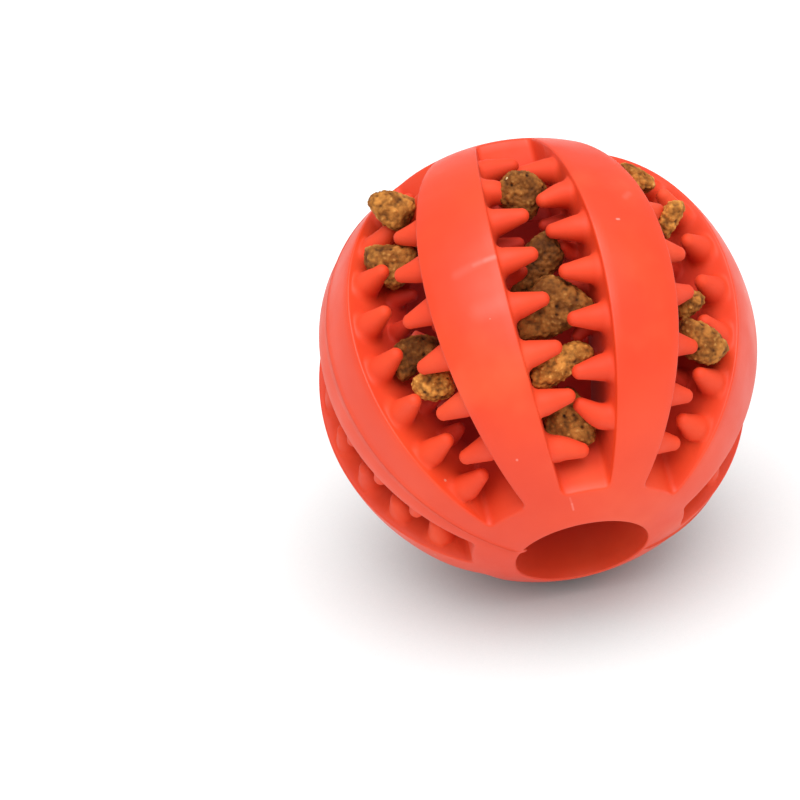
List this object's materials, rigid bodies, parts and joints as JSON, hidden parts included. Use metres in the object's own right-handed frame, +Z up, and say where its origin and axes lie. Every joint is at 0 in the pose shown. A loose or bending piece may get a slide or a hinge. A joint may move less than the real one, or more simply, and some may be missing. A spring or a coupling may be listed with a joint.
{
  "type": "dog chew ball",
  "caption": "Hollow rubber dog chew ball: ribs between slots lined with soft teeth, a round filling hole at one end, and dry food pressed between the teeth.",
  "frame": {"origin": "on the floor, straight under the ball's centre", "axes": "+Z up, with the ball lying across two of its ribs as in the picture; +Y away from the viewer; +X to the viewer's right. The filling hole looks towards the viewer and down."},
  "size_m": [0.0694, 0.0698, 0.0683],
  "materials": {
    "red_rubber": "satin",
    "dry_food": "matte"
  },
  "bodies": {
    "ball": {"hole_cap": "red_rubber", "closed_cap": "red_rubber", "rib_1": "red_rubber", "rib_2": "red_rubber", "rib_3": "red_rubber", "rib_4": "red_rubber", "rib_5": "red_rubber", "rib_6": "red_rubber", "rib_7": "red_rubber", "rib_8": "red_rubber", "left_teeth_1": "red_rubber", "left_teeth_2": "red_rubber", "left_teeth_3": "red_rubber", "left_teeth_4": "red_rubber", "left_teeth_5": "red_rubber", "left_teeth_6": "red_rubber", "left_teeth_7": "red_rubber", "left_teeth_8": "red_rubber", "right_teeth_1": "red_rubber", "right_teeth_2": "red_rubber", "right_teeth_3": "red_rubber", "right_teeth_4": "red_rubber", "right_teeth_5": "red_rubber", "right_teeth_6": "red_rubber", "right_teeth_7": "red_rubber", "right_teeth_8": "red_rubber"},
    "food_1": {"kibble_1": "dry_food"},
    "food_2": {"kibble_2": "dry_food"},
    "food_3": {"kibble_3": "dry_food"},
    "food_4": {"kibble_4": "dry_food"},
    "food_5": {"kibble_5": "dry_food"},
    "food_6": {"kibble_6": "dry_food"},
    "food_7": {"kibble_7": "dry_food"},
    "food_8": {"kibble_8": "dry_food"},
    "food_9": {"kibble_9": "dry_food"},
    "food_10": {"kibble_10": "dry_food"},
    "food_11": {"kibble_11": "dry_food"},
    "food_12": {"kibble_12": "dry_food"},
    "food_13": {"kibble_13": "dry_food"}
  },
  "joints": [
    {"name": "food_1_out", "type": "slide", "parent": "ball", "child": "food_1", "axis": [-0.5781, 0.0732, 0.8127], "range_m": [0, 0.015], "deforming": ["left_teeth_6", "right_teeth_6"]},
    {"name": "food_2_out", "type": "slide", "parent": "ball", "child": "food_2", "axis": [-0.6361, -0.2334, 0.7355], "range_m": [0, 0.015], "deforming": ["left_teeth_6", "right_teeth_6"]},
    {"name": "food_3_out", "type": "slide", "parent": "ball", "child": "food_3", "axis": [-0.5913, -0.6639, 0.4578], "range_m": [0, 0.015], "deforming": ["left_teeth_6", "right_teeth_6"]},
    {"name": "food_4_out", "type": "slide", "parent": "ball", "child": "food_4", "axis": [-0.5289, -0.79, 0.3102], "range_m": [0, 0.015], "deforming": ["left_teeth_6", "right_teeth_6"]},
    {"name": "food_5_out", "type": "slide", "parent": "ball", "child": "food_5", "axis": [0.0119, -0.0687, 0.9976], "range_m": [0, 0.015], "deforming": ["left_teeth_5", "right_teeth_5"]},
    {"name": "food_6_out", "type": "slide", "parent": "ball", "child": "food_6", "axis": [0.0799, -0.4626, 0.8829], "range_m": [0, 0.015], "deforming": ["left_teeth_5", "right_teeth_5"]},
    {"name": "food_7_out", "type": "slide", "parent": "ball", "child": "food_7", "axis": [0.1212, -0.7016, 0.7021], "range_m": [0, 0.015], "deforming": ["left_teeth_5", "right_teeth_5"]},
    {"name": "food_8_out", "type": "slide", "parent": "ball", "child": "food_8", "axis": [0.1538, -0.8902, 0.4289], "range_m": [0, 0.015], "deforming": ["left_teeth_5", "right_teeth_5"]},
    {"name": "food_9_out", "type": "slide", "parent": "ball", "child": "food_9", "axis": [0.1668, -0.966, 0.1977], "range_m": [0, 0.015], "deforming": ["left_teeth_5", "right_teeth_5"]},
    {"name": "food_10_out", "type": "slide", "parent": "ball", "child": "food_10", "axis": [0.5733, 0.1844, 0.7983], "range_m": [0, 0.015], "deforming": ["left_teeth_4", "right_teeth_4"]},
    {"name": "food_11_out", "type": "slide", "parent": "ball", "child": "food_11", "axis": [0.6998, -0.0583, 0.7119], "range_m": [0, 0.015], "deforming": ["left_teeth_4", "right_teeth_4"]},
    {"name": "food_12_out", "type": "slide", "parent": "ball", "child": "food_12", "axis": [0.7792, -0.3973, 0.4847], "range_m": [0, 0.015], "deforming": ["left_teeth_4", "right_teeth_4"]},
    {"name": "food_13_out", "type": "slide", "parent": "ball", "child": "food_13", "axis": [0.7671, -0.5501, 0.33], "range_m": [0, 0.015], "deforming": ["left_teeth_4", "right_teeth_4"]}
  ]
}
